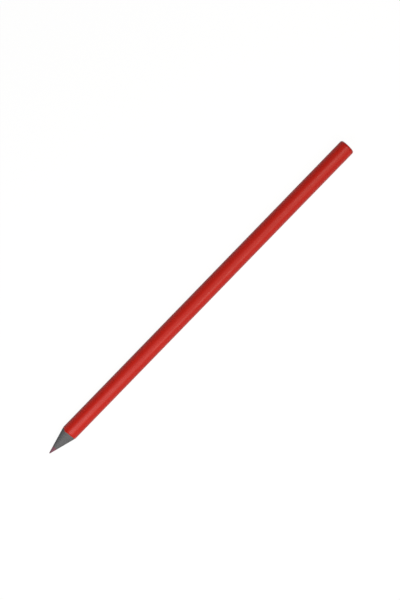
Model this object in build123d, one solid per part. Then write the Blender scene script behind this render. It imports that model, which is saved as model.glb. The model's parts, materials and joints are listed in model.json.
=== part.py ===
"""Round wood-cased pencil with a coloured lead, sharpened to a cone and dipped at its rear end.

It lies along X with its point towards -X. The origin is on the surface that it lies on,
under the middle of its length. Each separate layer and piece is written to parts/NODE.step.
"""

from build123d import *
import os
from math import cos, radians, sin, tan

# ---------- driving dimensions, millimetres and degrees ----------

overall_length = 176.0  # from the point to the rear face
barrel_diameter = 7.0  # over the lacquer
cone_half_angle = 15.5  # between the pencil's axis and the sharpened cone
point_radius = 0.25  # the lead's point is slightly blunt

core_diameter = 2.2  # the coloured lead
core_glue = 0.05  # glue round the lead, in the slats' grooves
joint_glue = 0.06  # glue between the flat faces of the two slats

primer_thickness = 0.04  # undercoat that seals the dyed wood
lacquer_thickness = 0.16  # red coats with their varnish
end_dip_thickness = 0.15  # paint over the rear face
rear_edge_radius = 1.0  # rounded rim of the dipped end

# ---------- sizes and places that follow from them ----------

core_radius = core_diameter / 2
groove_radius = core_radius + core_glue
barrel_radius = barrel_diameter / 2
primer_radius = barrel_radius - lacquer_thickness
wood_radius = primer_radius - primer_thickness
wood_edge_radius = rear_edge_radius - (barrel_radius - wood_radius)

point_x = -overall_length / 2
rear_x = overall_length / 2
wood_rear_x = rear_x - end_dip_thickness
coat_rear_x = rear_x - rear_edge_radius  # the coats are sanded off round the rim

half_angle = radians(cone_half_angle)
apex_x = point_x - point_radius * (1 / sin(half_angle) - 1)  # where the cone's sides would meet


def cone_x(radius):
    """The station along X where the sharpened cone has this radius."""
    return apex_x + radius / tan(half_angle)


def rod(radius, rear):
    """A round bar on the X axis, from the pencil's point back to a station."""
    return extrude(Plane.YZ.offset(point_x) * Circle(radius), rear - point_x)


def rounded_rod(radius, rear, edge_radius):
    """A round bar on the X axis whose rear rim is rounded."""
    bar = rod(radius, rear)
    rim = bar.faces().sort_by(Axis.X)[-1].edges()
    return fillet(rim, edge_radius)


def sharpened(blank):
    """What a sharpener's cone leaves of a blank: a straight taper with a slightly blunt point."""
    cut_radius = 1.5 * barrel_radius  # any radius beyond the barrel's, where the cutter's cone may end
    ball_x = point_x + point_radius
    tangent_point = (ball_x - point_radius * sin(half_angle), point_radius * cos(half_angle))
    ball_arc = RadiusArc((point_x, 0), tangent_point, point_radius)
    outline = Polyline(
        tangent_point,
        (cone_x(cut_radius), cut_radius),
        (rear_x, cut_radius),
        (rear_x, 0),
        (point_x, 0),
    )
    envelope = revolve(make_face([ball_arc, outline]), Axis.X)
    return blank & envelope


# ---------- the pieces, on the X axis ----------


def make_lead_core():
    """The coloured lead, right through the pencil, with its own part of the cone."""
    return sharpened(rod(core_radius, wood_rear_x))


def make_casing():
    """The outside of the glued wooden blank: both slats, the lead and the glue together."""
    return sharpened(rounded_rod(wood_radius, wood_rear_x, wood_edge_radius))


def make_glue_film(casing):
    """One film of glue: a flat strip on each side of the lead, and a sleeve round it."""
    strips = Box(2 * overall_length, 2 * barrel_diameter, joint_glue)
    sleeve = rod(groove_radius, wood_rear_x)
    return casing & (strips + sleeve - rod(core_radius, wood_rear_x))


def make_slat(casing, side):
    """Half of the wooden casing with its half-round groove. side is 1 above the joint, -1 below."""
    height = 2 * barrel_radius
    middle = side * (joint_glue + height) / 2
    half_space = Pos(0, 0, middle) * Box(2 * overall_length, 2 * barrel_diameter, height)
    return casing & (half_space - rod(groove_radius, wood_rear_x))


def make_coat(inner_radius, outer_radius):
    """A coat of paint round the barrel, cut to the cone in front and butted to the end dip."""
    return sharpened(rod(outer_radius, coat_rear_x) - rod(inner_radius, coat_rear_x))


def make_end_dip():
    """The red paint cap over the rear end, rounded at the rim and flush with the lacquer."""
    cap = rounded_rod(barrel_radius, rear_x, rear_edge_radius)
    ahead_of_cap = rod(2 * barrel_radius, coat_rear_x)
    return cap - ahead_of_cap - rounded_rod(wood_radius, wood_rear_x, wood_edge_radius)


def main():
    casing = make_casing()
    pieces = {
        "lead_core": make_lead_core(),
        "glue_film": make_glue_film(casing),
        "upper_slat": make_slat(casing, 1),
        "lower_slat": make_slat(casing, -1),
        "primer_coat": make_coat(wood_radius, primer_radius),
        "lacquer_coat": make_coat(primer_radius, barrel_radius),
        "end_dip": make_end_dip(),
    }
    os.makedirs("parts", exist_ok=True)
    for node, piece in pieces.items():
        on_surface = Pos(0, 0, barrel_radius) * piece
        on_surface.label = node
        export_step(on_surface, f"parts/{node}.step")


main()
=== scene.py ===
"""The looks of a round wood-cased pencil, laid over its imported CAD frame.

The pencil lies along X on the floor, with its point towards -X. Each piece is a closed mesh that
stands for the CAD node of the same layer. Surfaces in the open keep to the CAD's, with their relief
inwards. The boundaries between the wood and its coats wander to both sides of the CAD's, which
shows only where the cone cuts them. Lengths are in metres, and patterns in repeats per millimetre.
"""

import json
from math import asin, cos, hypot, pi, radians, sin, sqrt

import bmesh
import bpy
from mathutils import Matrix, Vector, noise


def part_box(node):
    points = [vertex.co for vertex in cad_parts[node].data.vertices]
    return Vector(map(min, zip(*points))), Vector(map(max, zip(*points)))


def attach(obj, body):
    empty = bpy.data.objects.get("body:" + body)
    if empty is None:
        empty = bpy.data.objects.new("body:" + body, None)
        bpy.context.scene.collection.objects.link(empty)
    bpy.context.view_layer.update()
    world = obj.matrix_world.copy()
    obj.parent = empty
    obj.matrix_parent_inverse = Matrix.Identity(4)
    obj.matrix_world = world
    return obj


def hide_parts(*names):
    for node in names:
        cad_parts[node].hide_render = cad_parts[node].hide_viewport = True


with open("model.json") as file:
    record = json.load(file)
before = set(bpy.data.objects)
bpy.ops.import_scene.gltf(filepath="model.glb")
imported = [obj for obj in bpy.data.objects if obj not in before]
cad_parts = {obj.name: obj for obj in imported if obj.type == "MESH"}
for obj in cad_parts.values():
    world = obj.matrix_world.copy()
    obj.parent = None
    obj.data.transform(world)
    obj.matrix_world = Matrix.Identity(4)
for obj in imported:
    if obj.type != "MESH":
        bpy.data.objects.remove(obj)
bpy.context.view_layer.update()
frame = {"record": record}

MM = 0.001

# ---------- sizes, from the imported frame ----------


def front_x(node):
    """Where a CAD node starts, at its end towards the point."""
    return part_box(node)[0].x


def rear_x(node):
    """Where a CAD node ends, towards the pencil's rear."""
    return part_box(node)[1].x


mounts = {mount["name"]: mount for mount in frame["record"]["mounts"]}
BARREL_R = mounts["barrel"]["dims"]["r_mm"] * MM
AXIS_Z = mounts["barrel"]["pos_m"][2]
POINT_X = mounts["writing_point"]["pos_m"][0]
REAR_X = mounts["rear_face"]["pos_m"][0]
SHOULDER_X = mounts["sharpened_cone"]["pos_m"][0]

CORE_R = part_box("lead_core")[1].y
TAPER = (BARREL_R - CORE_R) / (SHOULDER_X - front_x("glue_film"))  # radius per length


def cone_radius(x):
    """The sharpened cone's radius at a station."""
    return BARREL_R - (SHOULDER_X - x) * TAPER


def cone_x(radius):
    """The station where the sharpened cone has a radius."""
    return SHOULDER_X - (BARREL_R - radius) / TAPER


PRIMER_R = cone_radius(front_x("lacquer_coat"))  # over the undercoat
WOOD_R = cone_radius(front_x("primer_coat"))
GROOVE_R = cone_radius(front_x("upper_slat"))
JOINT_HALF = AXIS_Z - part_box("lower_slat")[1].z  # half of the glue between the slats

COAT_REAR_X = rear_x("lacquer_coat")
WOOD_REAR_X = rear_x("lead_core")
RIM_R = REAR_X - COAT_REAR_X
WOOD_RIM_R = RIM_R - (BARREL_R - WOOD_R)

SLANT = hypot(1, TAPER)  # length along the cone's side for each length along X
POINT_R = (POINT_X - cone_x(0)) / (SLANT / TAPER - 1)  # the blunt point's ball

# ---------- how finely the meshes are divided ----------

SEGMENTS = 160  # round the pencil
BARREL_STEP = 0.6 * MM  # along the barrel
CONE_STEP = 0.08 * MM  # along the cone
FILM_STEPS = 3  # across the cut edge of the glue and the undercoat, which are thin
ARC_STEPS = 14  # along a rounded rim, the blunt point or the end paint's dish
MERGE_DISTANCE = 0.00001 * MM  # points as close as this are one
SHARP_ANGLE = radians(35)  # a fold of more than this is shaded as an edge

# ---------- small relief, all of it inwards from the CAD surface ----------

COAT_RIPPLE = 0.006 * MM  # lengthwise ripples in the red coat
FIBRE_RELIEF = 0.014 * MM  # grain on the sharpened wood
CUTTER_RELIEF = 0.006 * MM  # marks across the cone from the sharpener
SOFT_EDGE = 0.02 * MM  # the shoulder and the coats' ends aren't razor sharp
DIP_DISH = 0.035 * MM  # how far the end paint sinks inside its rim


def field(point, along, across, seed=0.0):
    """Smooth noise from 0 to 1 at a point, with these repeats along X and across it."""
    x, y, z = point / MM
    value = noise.noise(Vector((x * along + seed, y * across + seed, z * across + seed)))
    return 0.5 + 0.5 * max(-1.0, min(1.0, value))


def coat_relief(point):
    """How far the red coat lies under its nominal surface."""
    broad = field(point, along=0.04, across=0.9)
    fine = field(point, along=0.12, across=2.2, seed=7.0)
    return COAT_RIPPLE * (0.6 * broad + 0.4 * fine)


def wood_relief(point):
    """How far the cut wood lies under the cone: soft fibres worn low, and the cutter's marks."""
    fibres = field(point, along=0.12, across=5.0, seed=3.0)
    marks = field(point, along=6.0, across=0.25, seed=11.0)
    return FIBRE_RELIEF * fibres * fibres + CUTTER_RELIEF * marks


def lead_relief(point):
    """How far the lead lies under the cone: fine rings from the sharpener."""
    return CUTTER_RELIEF * field(point, along=8.0, across=0.6, seed=19.0)


def no_relief(point):
    """For a surface without any relief of its own."""
    return 0.0


# ---------- uneven coats: their boundaries wander to both sides of the CAD's ----------

WANDER = 0.2 * MM  # for noise of 1, of which it reaches about half
WANDER_CIRCLE = 1.2  # the noise is read along a circle of this radius, in its own cells
WANDER_SEED = 75.5  # picks the pattern
NICKS = 0.03 * MM  # small nicks on top of that, for noise of 1 over the level where they start
NICK_LEVEL = 0.2
NICK_CIRCLE = 9


def layer_radius(radius, angle):
    """A hidden boundary's radius at an angle, uneven because the coats vary in thickness."""

    def around(circle, seed):
        return noise.noise(Vector((circle * cos(angle), circle * sin(angle), radius / MM + seed)))

    wander = around(WANDER_CIRCLE, WANDER_SEED)
    nick = max(0.0, around(NICK_CIRCLE, 0) - NICK_LEVEL)
    return radius + WANDER * wander + NICKS * nick


# ---------- mesh building ----------


def spread(start, end, count):
    """Evenly spaced values from start to end, both included, in this many steps."""
    return [start + (end - start) * i / count for i in range(count + 1)]


def arc(centre_x, centre_r, radius, start, end):
    """(x, radius) points of an arc, from one direction to another, with 0 towards +X."""
    turns = spread(start, end, ARC_STEPS)
    return [(centre_x + radius * cos(a), centre_r + radius * sin(a)) for a in turns]


def place(x, radius, angle):
    """A point at a station, and a radius and angle about the pencil's axis, with 0 towards +Y."""
    return Vector((x, radius * cos(angle), AXIS_Z + radius * sin(angle)))


def new_piece(name, columns, ring):
    """A closed mesh object through columns of points, each of which runs round an outline.

    With ring the last column is joined to the first, and without it both are capped.
    """
    size = len(columns[0])
    vertices = [point for column in columns for point in column]
    starts = range(0, len(vertices), size)
    neighbours = list(zip(starts, starts[1:]))
    if ring:
        neighbours.append((starts[-1], 0))
    faces = [
        (this + k, this + (k + 1) % size, following + (k + 1) % size, following + k)
        for this, following in neighbours
        for k in range(size)
    ]
    if not ring:
        faces += [tuple(range(start, start + size)) for start in (0, starts[-1])]

    mesh = bpy.data.meshes.new(name)
    mesh.from_pydata(vertices, [], faces)
    work = bmesh.new()
    work.from_mesh(mesh)
    bmesh.ops.remove_doubles(work, verts=work.verts, dist=MERGE_DISTANCE)
    stray = [edge for edge in work.edges if not edge.link_faces]
    bmesh.ops.delete(work, geom=stray, context="EDGES")
    bmesh.ops.recalc_face_normals(work, faces=work.faces)
    work.to_mesh(mesh)
    work.free()
    mesh.shade_smooth()
    mesh.set_sharp_from_angle(angle=SHARP_ANGLE)
    piece = bpy.data.objects.new(name, mesh)
    bpy.context.scene.collection.objects.link(piece)
    return piece


def slat_angle(radius, share, side):
    """The angle at a share of a slat's half turn, which starts and ends on the glue's faces."""
    gap = asin(JOINT_HALF / radius)
    return side * (gap + (pi - 2 * gap) * share)


def turned(name, outside, inside, relief=no_relief, side=None):
    """A closed piece turned about the pencil's axis.

    outside(turn) lists the outline that shows as (x, radius) points, from front to rear, and
    inside(turn) lists the hidden rest, from rear to front. relief(point) is how far the outside
    lies inwards. side is None for a whole turn, or 1 or -1 for the half over or under the joint.
    """
    whole = side is None
    shares = spread(0, 1, SEGMENTS if whole else SEGMENTS // 2)
    if whole:
        shares.pop()  # a whole turn ends where it starts
    columns = []
    for share in shares:
        turn = 2 * pi * share if whole else side * pi * share
        shown = outside(turn)
        column = []
        for k, (x, radius) in enumerate(shown + inside(turn)):
            angle = turn if whole else slat_angle(radius, share, side)
            if k < len(shown) and radius:  # a point on the axis stays there
                radius -= relief(place(x, radius, angle))
            column.append(place(x, radius, angle))
        columns.append(column)
    return new_piece(name, columns, ring=whole)


# ---------- outlines of the layers at an angle, as (x, radius) points ----------


def cone_steps(inner, outer):
    """How many steps divide the sharpened cone's side between two radii."""
    return max(2, round((outer - inner) / TAPER / CONE_STEP))


LEAD_STEPS = cone_steps(0, CORE_R)
WOOD_STEPS = cone_steps(GROOVE_R, WOOD_R)
COAT_STEPS = cone_steps(PRIMER_R, BARREL_R)
BARREL_STEPS = round((COAT_REAR_X - SHOULDER_X) / BARREL_STEP)


def on_cone(inner, outer, count):
    """Points up the sharpened cone from one radius to another."""
    return [(cone_x(r), r) for r in spread(inner, outer, count)]


def lead_outside(angle):
    """The blunt point, from the axis, and the lead's share of the cone."""
    ball = arc(POINT_X + POINT_R, 0, POINT_R, pi, pi / 2 + asin(TAPER / SLANT))
    return [(POINT_X, 0), *ball[1:], *on_cone(ball[-1][1], CORE_R, LEAD_STEPS)[1:]]


def lead_inside(angle):
    """The lead's rear end and its axis."""
    return [(WOOD_REAR_X, CORE_R), (WOOD_REAR_X, 0)]


def slat_outside(angle):
    """The wood's share of the cone."""
    return on_cone(GROOVE_R, layer_radius(WOOD_R, angle), WOOD_STEPS)


def wood_rear(angle):
    """The wood's rounded rear rim, from its side to its rear face."""
    radius = layer_radius(WOOD_R, angle)
    return arc(WOOD_REAR_X - WOOD_RIM_R, radius - WOOD_RIM_R, WOOD_RIM_R, pi / 2, 0)


def slat_inside(angle):
    """A slat's side under the coats, its rear end and its groove."""
    return [*wood_rear(angle), (WOOD_REAR_X, GROOVE_R)]


def sleeve_outside(angle):
    """The cut edge of the glue round the lead."""
    return on_cone(CORE_R, GROOVE_R, FILM_STEPS)


def sleeve_inside(angle):
    """The glue's outer face, rear end and inner face."""
    return [(WOOD_REAR_X, GROOVE_R), (WOOD_REAR_X, CORE_R)]


def primer_outside(angle):
    """The cut edge of the undercoat."""
    return on_cone(layer_radius(WOOD_R, angle), layer_radius(PRIMER_R, angle), FILM_STEPS)


def primer_inside(angle):
    """The undercoat's outer face, rear end and inner face."""
    return [(COAT_REAR_X, layer_radius(r, angle)) for r in (PRIMER_R, WOOD_R)]


def lacquer_outside(angle):
    """The red coat's cut edge, its soft shoulder and the barrel."""
    cut = on_cone(layer_radius(PRIMER_R, angle), BARREL_R, COAT_STEPS)[:-1]
    barrel = spread(SHOULDER_X + 2 * SOFT_EDGE, COAT_REAR_X - SOFT_EDGE, BARREL_STEPS)
    return [*cut, *[(x, BARREL_R) for x in barrel], (COAT_REAR_X, BARREL_R - SOFT_EDGE)]


def lacquer_inside(angle):
    """The red coat's rear end and inner face."""
    return [(COAT_REAR_X, layer_radius(PRIMER_R, angle))]


def dip_outside(angle):
    """The end paint's edge against the red coat, its round rim and its dished rear face."""
    flat_r = BARREL_R - RIM_R
    rim = arc(COAT_REAR_X, flat_r, RIM_R, pi / 2, 0)
    dish = [
        (REAR_X - DIP_DISH * 0.5 * (1 - cos(pi * share)), flat_r * (1 - share))
        for share in spread(0, 1, ARC_STEPS)
    ]
    return [(COAT_REAR_X, BARREL_R - SOFT_EDGE), *rim[1:], *dish[1:]]


def dip_inside(angle):
    """The end paint's inner face over the wood's rear end."""
    front = (COAT_REAR_X, layer_radius(WOOD_R, angle))
    return [(WOOD_REAR_X, 0), *reversed(wood_rear(angle)), front]


def glue_strip(name, side):
    """The thin strip of glue between the slats' flat faces, on one side of the lead."""
    angle = 0 if side > 0 else pi
    outline = slat_outside(angle) + slat_inside(angle)
    columns = [
        [Vector((x, side * sqrt(r * r - z * z), AXIS_Z + z)) for x, r in outline]
        for z in (-JOINT_HALF, JOINT_HALF)
    ]
    return new_piece(name, columns, ring=False)


# ---------- colours, gloss and the nodes that make patterns ----------


def paint(red, green, blue):
    """A colour as it looks on a screen, 0 to 255, turned into a shader's linear colour."""
    levels = [level / 255 for level in (red, green, blue)]
    linear = [c / 12.92 if c <= 0.04045 else ((c + 0.055) / 1.055) ** 2.4 for c in levels]
    return (*linear, 1.0)


RED, DARK_RED = paint(196, 32, 18), paint(184, 26, 13)
DIP_RED, DIP_DARK_RED = paint(192, 30, 16), paint(180, 24, 12)
WOOD_LIGHT, WOOD_DARK = paint(114, 114, 116), paint(97, 97, 99)
WOOD_RING, WOOD_PORE = paint(88, 88, 90), paint(65, 65, 67)
LEAD_LIGHT, LEAD_DARK = paint(138, 88, 102), paint(117, 74, 89)
GLUE_LIGHT, GLUE_DARK = paint(112, 104, 92), paint(90, 84, 76)
PRIMER_LIGHT, PRIMER_DARK = paint(150, 84, 74), paint(132, 70, 62)

LACQUER_IOR = 1.35  # a satin varnish
WOOD_IOR = 1.3
LEAD_IOR = 1.35
FILM_IOR = 1.35  # dried glue and undercoat
LACQUER_ROUGHNESS, DIP_ROUGHNESS = 0.42, 0.38
GLUE_ROUGHNESS, PRIMER_ROUGHNESS = 0.5, 0.6

WAVE_PERIOD = 2 * pi / 20  # the length after which Blender's wave pattern repeats, at a scale of 1


def grey(level):
    """A neutral colour for a shader."""
    return (level, level, level, 1)


def feed(socket, value):
    """Gives a socket a value, or links it to another node's output."""
    if isinstance(value, bpy.types.NodeSocket):
        socket.id_data.links.new(value, socket)
    else:
        socket.default_value = value


def add_node(tree, kind, inputs=None, **settings):
    """A new node. inputs feeds its sockets, which go by name or number."""
    made = tree.nodes.new(kind)
    for setting, value in settings.items():
        setattr(made, setting, value)
    for socket, value in (inputs or {}).items():
        feed(made.inputs[socket], value)
    return made


class Finish:
    """A Principled material, with the nodes that give it its patterns."""

    def __init__(self, name, ior):
        self.material = bpy.data.materials.new(name)
        self.material.use_nodes = True
        self.tree = self.material.node_tree
        self.shader = self.tree.nodes["Principled BSDF"]
        self.shader.inputs["IOR"].default_value = ior
        self.position = self.node("ShaderNodeTexCoord").outputs["Object"]

    def node(self, kind, inputs=None, **settings):
        """A new node in this material."""
        return add_node(self.tree, kind, inputs, **settings)

    def scaled(self, along, across, turn=0.0):
        """Object coordinates in pattern repeats, turned about X."""
        scale = (along / MM, across / MM, across / MM)
        inputs = {"Vector": self.position, "Scale": scale, "Rotation": (turn, 0, 0)}
        return self.node("ShaderNodeMapping", inputs).outputs["Vector"]

    def grain(self, along, across, detail=2.0, turn=0.0):
        """Noise from 0 to 1 with these repeats along X and across it."""
        inputs = {"Vector": self.scaled(along, across, turn), "Scale": 1.0, "Detail": detail}
        return self.node("ShaderNodeTexNoise", inputs).outputs["Fac"]

    def rings(self, along, across, turn):
        """The wood's growth rings: bands across the grain that wander a little along it."""
        inputs = {
            "Vector": self.scaled(along, across, turn),
            "Scale": WAVE_PERIOD,
            "Distortion": 3.0,
            "Detail": 2.0,
            "Detail Scale": 1.5,
        }
        settings = {"bands_direction": "Z", "wave_profile": "SAW"}
        return self.node("ShaderNodeTexWave", inputs, **settings).outputs["Fac"]

    def specks(self, repeats, radius):
        """1 inside small scattered dots and 0 outside them. A dot's radius is in repeats."""
        inputs = {"Vector": self.scaled(repeats, repeats), "Scale": 1.0}
        distance = self.node("ShaderNodeTexVoronoi", inputs).outputs["Distance"]
        return self.contrast(distance, radius, radius * 0.4)

    def contrast(self, value, low, high):
        """value rescaled so that low becomes 0 and high becomes 1, and kept there."""
        inputs = {"Value": value, "From Min": low, "From Max": high}
        return self.node("ShaderNodeMapRange", inputs).outputs["Result"]

    def to_range(self, value, low, high):
        """A 0 to 1 value turned into one from low to high."""
        inputs = {"Value": value, "To Min": low, "To Max": high}
        return self.node("ShaderNodeMapRange", inputs).outputs["Result"]

    def blend(self, factor, first, second):
        """Two colours mixed by a factor."""
        inputs = {0: factor, 6: first, 7: second}  # the mix node's sockets for colours
        return self.node("ShaderNodeMix", inputs, data_type="RGBA").outputs[2]

    def colour(self, value):
        """Gives the surface a colour or a pattern of colours."""
        feed(self.shader.inputs["Base Color"], value)

    def rough(self, value):
        """Gives the surface a roughness pattern."""
        feed(self.shader.inputs["Roughness"], value)

    def bump(self, *heights):
        """Adds (height, depth) patterns to the surface, one on top of the other."""
        normal = None
        for height, depth in heights:
            inputs = {"Height": height, "Distance": depth}
            if normal:
                inputs["Normal"] = normal
            normal = self.node("ShaderNodeBump", inputs).outputs["Normal"]
        feed(self.shader.inputs["Normal"], normal)


# ---------- materials ----------


def red_paint(name, red, dark_red, roughness):
    """Red pencil lacquer: slightly uneven, with the wood's grain and a few specks under it."""
    finish = Finish(name, LACQUER_IOR)
    streaks = finish.grain(along=0.05, across=1.6, detail=3.0)
    mottle = finish.contrast(finish.grain(along=0.3, across=0.45, detail=3.0), 0.3, 0.7)
    specks = finish.specks(repeats=0.55, radius=0.07)
    peel = finish.grain(along=2.2, across=2.2, detail=1.0)
    scuffs = finish.contrast(finish.grain(along=0.5, across=14.0, detail=1.0), 0.62, 0.72)
    shade = finish.blend(finish.contrast(streaks, 0.3, 0.7), dark_red, red)
    shade = finish.blend(finish.to_range(mottle, 0.0, 0.35), shade, dark_red)
    finish.colour(shade)
    finish.rough(finish.to_range(mottle, roughness - 0.04, roughness + 0.04))
    finish.bump(
        (peel, 0.0025 * MM), (streaks, 0.006 * MM), (specks, 0.012 * MM), (scuffs, 0.0012 * MM)
    )
    return finish.material


def dyed_wood(name, turn):
    """Dark grey wood, dyed through, with its growth rings, fibres and open pores."""
    finish = Finish(name, WOOD_IOR)
    rings = finish.rings(along=0.105, across=1.75, turn=turn)
    fibres = finish.grain(along=0.1, across=5.5, detail=4.0, turn=turn)
    pores = finish.contrast(finish.grain(along=0.35, across=9.0, turn=turn), 0.6, 0.72)
    marks = finish.grain(along=5.0, across=0.3)
    wood = finish.blend(finish.contrast(fibres, 0.3, 0.7), WOOD_DARK, WOOD_LIGHT)
    wood = finish.blend(finish.to_range(rings, 0.0, 0.45), wood, WOOD_RING)
    wood = finish.blend(finish.to_range(pores, 0.0, 0.6), wood, WOOD_PORE)
    finish.colour(wood)
    finish.rough(finish.to_range(fibres, 0.62, 0.8))
    finish.bump((fibres, 0.02 * MM), (pores, -0.015 * MM), (marks, 0.008 * MM))
    return finish.material


def red_lead(name):
    """Coloured lead: waxy, slightly grainy, with fine rings from the sharpener."""
    finish = Finish(name, LEAD_IOR)
    pigment = finish.grain(along=9.0, across=9.0, detail=3.0)
    smears = finish.grain(along=1.2, across=2.5)
    rings = finish.grain(along=9.0, across=0.5, detail=1.0)
    tone = finish.blend(finish.contrast(pigment, 0.35, 0.65), LEAD_DARK, LEAD_LIGHT)
    smeared = finish.to_range(finish.contrast(smears, 0.5, 0.7), 0.0, 0.4)
    finish.colour(finish.blend(smeared, tone, LEAD_DARK))
    finish.rough(finish.to_range(smears, 0.4, 0.6))
    finish.bump((rings, 0.006 * MM), (pigment, 0.004 * MM))
    return finish.material


def dull_film(name, light, dark, roughness):
    """Dried glue or undercoat: a dull film, a little uneven."""
    finish = Finish(name, FILM_IOR)
    mottle = finish.grain(along=2.0, across=4.0)
    finish.colour(finish.blend(mottle, dark, light))
    finish.rough(finish.to_range(mottle, roughness - 0.05, roughness + 0.05))
    finish.bump((mottle, 0.004 * MM))
    return finish.material


lacquer_finish = red_paint("red_lacquer_satin", RED, DARK_RED, LACQUER_ROUGHNESS)
dip_finish = red_paint("red_dip_satin", DIP_RED, DIP_DARK_RED, DIP_ROUGHNESS)
upper_finish = dyed_wood("dyed_wood_upper", turn=radians(24))
lower_finish = dyed_wood("dyed_wood_lower", turn=radians(-37))
lead_finish = red_lead("red_lead_waxy")
glue_finish = dull_film("dried_glue", GLUE_LIGHT, GLUE_DARK, GLUE_ROUGHNESS)
primer_finish = dull_film("undercoat", PRIMER_LIGHT, PRIMER_DARK, PRIMER_ROUGHNESS)

# ---------- the pieces ----------

lead = turned("lead", lead_outside, lead_inside, lead_relief)
slat_upper = turned("slat_upper", slat_outside, slat_inside, wood_relief, side=1)
slat_lower = turned("slat_lower", slat_outside, slat_inside, wood_relief, side=-1)
glue_sleeve = turned("glue_sleeve", sleeve_outside, sleeve_inside)
glue_left = glue_strip("glue_strip_left", side=1)
glue_right = glue_strip("glue_strip_right", side=-1)
undercoat = turned("undercoat_tube", primer_outside, primer_inside)
lacquer = turned("lacquer_tube", lacquer_outside, lacquer_inside, coat_relief)
dipped_end = turned("dipped_end", dip_outside, dip_inside)

PIECES = [  # (piece, CAD node it stands for, record's slot, material)
    (lead, "lead_core", "red_lead", lead_finish),
    (slat_upper, "upper_slat", "dyed_wood", upper_finish),
    (slat_lower, "lower_slat", "dyed_wood", lower_finish),
    (glue_sleeve, "glue_film", "glue", glue_finish),
    (glue_left, "glue_film", "glue", glue_finish),
    (glue_right, "glue_film", "glue", glue_finish),
    (undercoat, "primer_coat", "primer", primer_finish),
    (lacquer, "lacquer_coat", "red_lacquer", lacquer_finish),
    (dipped_end, "end_dip", "red_dip", dip_finish),
]
for piece, node, slot, material in PIECES:
    piece.data.materials.append(material)
    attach(piece, "root")
    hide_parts(node)

# ---------- floor, world and lamps ----------

AMBIENT = 0.15  # the room's light on the object
FLOOR_BOUNCE = 0.2  # the floor's brightness to everything but an eye
FLOOR_GLOW, FLOOR_SHADOW = 0.95, 0.07  # a lit floor adds up to just over white
FLOOR_SIZE = 8.0
WALL_TOP, CEILING = 0.25, 0.55  # how steeply an eye looks up as the walls fade to the ceiling
CEILING_GLOW = 0.1
WARM = (1.0, 0.96, 0.84)


def eye_share(tree):
    """1 for a ray that the camera, a reflection or clear glass sees, and 0 for one that lights."""
    rays = add_node(tree, "ShaderNodeLightPath").outputs
    share = rays["Is Camera Ray"]
    for ray in ("Is Glossy Ray", "Is Transmission Ray"):
        inputs = {0: share, 1: rays[ray]}
        share = add_node(tree, "ShaderNodeMath", inputs, operation="MAXIMUM").outputs[0]
    return share


def two_looks(tree, lighting, seen, output):
    """Joins what lights the object and what an eye sees, which are nodes, into one output."""
    inputs = {0: eye_share(tree), 1: lighting.outputs[0], 2: seen.outputs[0]}
    feed(output.inputs["Surface"], add_node(tree, "ShaderNodeMixShader", inputs).outputs[0])


def make_floor():
    """The floor: grey to what it lights, and white with the object's faint shadow to an eye."""
    half = FLOOR_SIZE / 2
    mesh = bpy.data.meshes.new("floor")
    corners = [(-half, -half, 0), (half, -half, 0), (half, half, 0), (-half, half, 0)]
    mesh.from_pydata(corners, [], [(0, 1, 2, 3)])
    floor = bpy.data.objects.new("floor", mesh)
    bpy.context.scene.collection.objects.link(floor)
    material = bpy.data.materials.new("floor_white")
    material.use_nodes = True
    tree = material.node_tree
    tree.nodes.remove(tree.nodes["Principled BSDF"])
    bounce = add_node(tree, "ShaderNodeBsdfDiffuse", {"Color": grey(FLOOR_BOUNCE)})
    shadowed = add_node(tree, "ShaderNodeBsdfDiffuse", {"Color": grey(FLOOR_SHADOW)})
    glow = add_node(tree, "ShaderNodeEmission", {"Strength": FLOOR_GLOW})
    seen = add_node(tree, "ShaderNodeAddShader", {0: shadowed.outputs[0], 1: glow.outputs[0]})
    two_looks(tree, bounce, seen, tree.nodes["Material Output"])
    floor.data.materials.append(material)


def make_world():
    """A plain room that an eye sees as white up to a dim ceiling."""
    world = bpy.data.worlds.new("room")
    bpy.context.scene.world = world
    world.use_nodes = True
    tree = world.node_tree
    ambient = tree.nodes["Background"]
    feed(ambient.inputs["Color"], grey(1))
    feed(ambient.inputs["Strength"], AMBIENT)
    direction = add_node(tree, "ShaderNodeTexCoord").outputs["Generated"]
    height = add_node(tree, "ShaderNodeSeparateXYZ", {0: direction}).outputs["Z"]
    inputs = {
        "Value": height,
        "From Min": WALL_TOP,
        "From Max": CEILING,
        "To Min": 1.0,
        "To Max": CEILING_GLOW,
    }
    glow = add_node(tree, "ShaderNodeMapRange", inputs, interpolation_type="SMOOTHSTEP")
    inputs = {"Color": grey(1), "Strength": glow.outputs["Result"]}
    walls = add_node(tree, "ShaderNodeBackground", inputs)
    two_looks(tree, ambient, walls, tree.nodes["World Output"])


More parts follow.
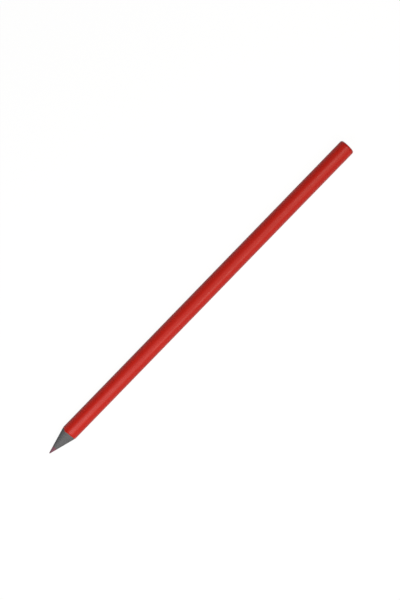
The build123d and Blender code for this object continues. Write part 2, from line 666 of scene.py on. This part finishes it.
def softbox(name, distance, tilt, size, power, x=0.0, aim_x=0.0, colour=(1, 1, 1)):
    """A rectangular lamp over the pencil, tilted this many degrees from overhead towards -Y.

    It hangs at x and is aimed at the floor under the pencil's axis at aim_x. Its size is along X
    and across it. The camera doesn't see it.
    """
    lamp = bpy.data.lights.new(name, "AREA")
    lamp.shape = "RECTANGLE"
    lamp.size, lamp.size_y = size
    lamp.energy = power
    lamp.color = colour
    made = bpy.data.objects.new(name, lamp)
    bpy.context.scene.collection.objects.link(made)
    made.visible_camera = False
    made.location = (x, -distance * sin(radians(tilt)), distance * cos(radians(tilt)))
    aim = Vector((aim_x, 0, 0)) - made.location
    made.rotation_euler = aim.to_track_quat("-Z", "Y").to_euler()


make_floor()
make_world()
softbox("key", distance=0.5, tilt=40, size=(0.08, 0.08), power=0.66, colour=WARM)
softbox("point_top_light", distance=0.3, tilt=8, size=(0.06, 0.1), power=0.09, x=-0.1, aim_x=-0.08)
softbox("point_front_light", distance=0.2, tilt=2, size=(0.03, 0.08), power=0.115, x=-0.125, aim_x=-0.09)
softbox("point_side_light", distance=0.2, tilt=24, size=(0.04, 0.07), power=0.094, x=-0.1, aim_x=-0.08)
softbox("rear_light", distance=0.22, tilt=8, size=(0.06, 0.1), power=0.17, x=0.11, aim_x=0.08, colour=WARM)
softbox("side_light", distance=0.6, tilt=82, size=(0.3, 0.12), power=0.06)

# ---------- camera ----------

PICTURE_HEIGHT = 246.522 * MM  # what the camera sees at the pencil, along the picture's long side
CAMERA_HEIGHT = 836 * MM  # over the pencil's axis
HEADING = radians(45.84)  # the pencil's slope in the picture
PENCIL_RIGHT, PENCIL_UP = -0.5588 * MM, 0.1376 * MM  # the pencil's middle from the picture's

right = Vector((cos(HEADING), -sin(HEADING), 0))
up = Vector((sin(HEADING), cos(HEADING), 0))
pencil_middle = Vector(((POINT_X + REAR_X) / 2, 0, AXIS_Z))
picture_middle = pencil_middle - (PENCIL_RIGHT * right + PENCIL_UP * up)

camera_data = bpy.data.cameras.new("camera")
camera_data.lens = camera_data.sensor_width * CAMERA_HEIGHT / PICTURE_HEIGHT
camera = bpy.data.objects.new("camera", camera_data)
bpy.context.scene.collection.objects.link(camera)
bpy.context.scene.camera = camera
location = Matrix.Translation(picture_middle + Vector((0, 0, CAMERA_HEIGHT)))
rotation = Matrix((right, up, right.cross(up))).transposed()
camera.matrix_world = location @ rotation.to_4x4()

bpy.context.scene.view_settings.view_transform = "Standard"
